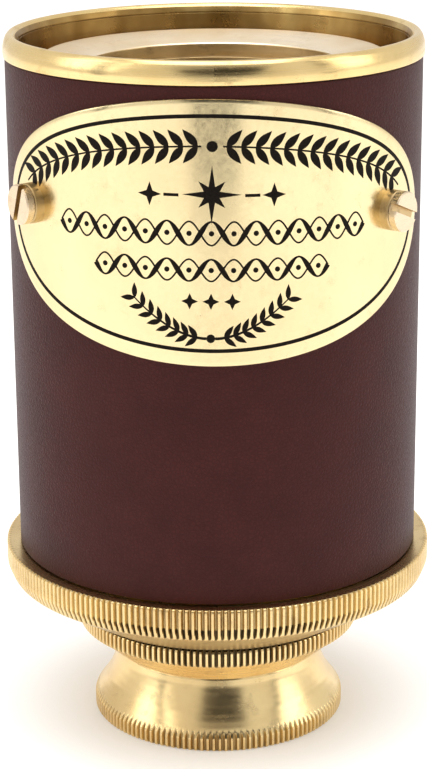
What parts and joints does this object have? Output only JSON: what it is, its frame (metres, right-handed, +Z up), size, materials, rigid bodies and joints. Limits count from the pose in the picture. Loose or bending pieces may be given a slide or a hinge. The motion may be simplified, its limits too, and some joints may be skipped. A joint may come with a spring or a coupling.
{
  "type": "pocket telescope",
  "caption": "Small collapsible brass spyglass with a leather-covered barrel, knurled rings and a curved nameplate, standing closed on its eyepiece cup; its draws slide out.",
  "frame": {"origin": "centre of the eyepiece cup's flat foot, which is the bottom centre of the bounding box", "axes": "+Z up along the optical axis, from the eyepiece to the objective; -Y towards the nameplate; +X to the right when facing the nameplate"},
  "size_m": [0.0536, 0.0536, 0.0872],
  "materials": {
    "polished_brass": "turned and polished, handled",
    "aged_brass": "aged, dull",
    "blackened_brass": "blackened, matt",
    "leather": "dark oxblood, fine grain, worn",
    "glass": "polished"
  },
  "bodies": {
    "barrel": {"barrel_tube": "aged_brass", "leather_sleeve": "leather", "hood_ring": "polished_brass", "objective_cell": "aged_brass", "objective_flint_lens": "glass", "objective_crown_lens": "glass", "objective_retaining_ring": "blackened_brass", "barrel_end_ring": "polished_brass", "barrel_guide_sleeve": "aged_brass", "nameplate": "polished_brass", "nameplate_washer_left": "aged_brass", "nameplate_washer_right": "aged_brass", "nameplate_screw_left": "polished_brass", "nameplate_screw_right": "polished_brass"},
    "draw_1": {"draw_1_tube": "polished_brass", "draw_1_stop_ring": "blackened_brass", "draw_1_collar": "polished_brass", "draw_1_guide_sleeve": "aged_brass"},
    "draw_2": {"draw_2_tube": "polished_brass", "draw_2_stop_ring": "blackened_brass", "eyepiece_cup": "polished_brass", "eyepiece_cell": "blackened_brass", "eye_lens": "glass", "eye_lens_ring": "blackened_brass", "field_stop": "blackened_brass", "field_lens": "glass", "field_lens_ring": "blackened_brass", "erector_cell": "blackened_brass", "erector_rear_lens": "glass", "erector_spacer": "blackened_brass", "erector_front_lens": "glass", "erector_retaining_ring": "blackened_brass"}
  },
  "joints": [
    {"name": "draw_1_slide", "type": "slide", "parent": "barrel", "child": "draw_1", "axis": [0, 0, -1], "range_m": [0, 0.045]},
    {"name": "draw_2_slide", "type": "slide", "parent": "draw_1", "child": "draw_2", "axis": [0, 0, -1], "range_m": [0, 0.045]}
  ]
}
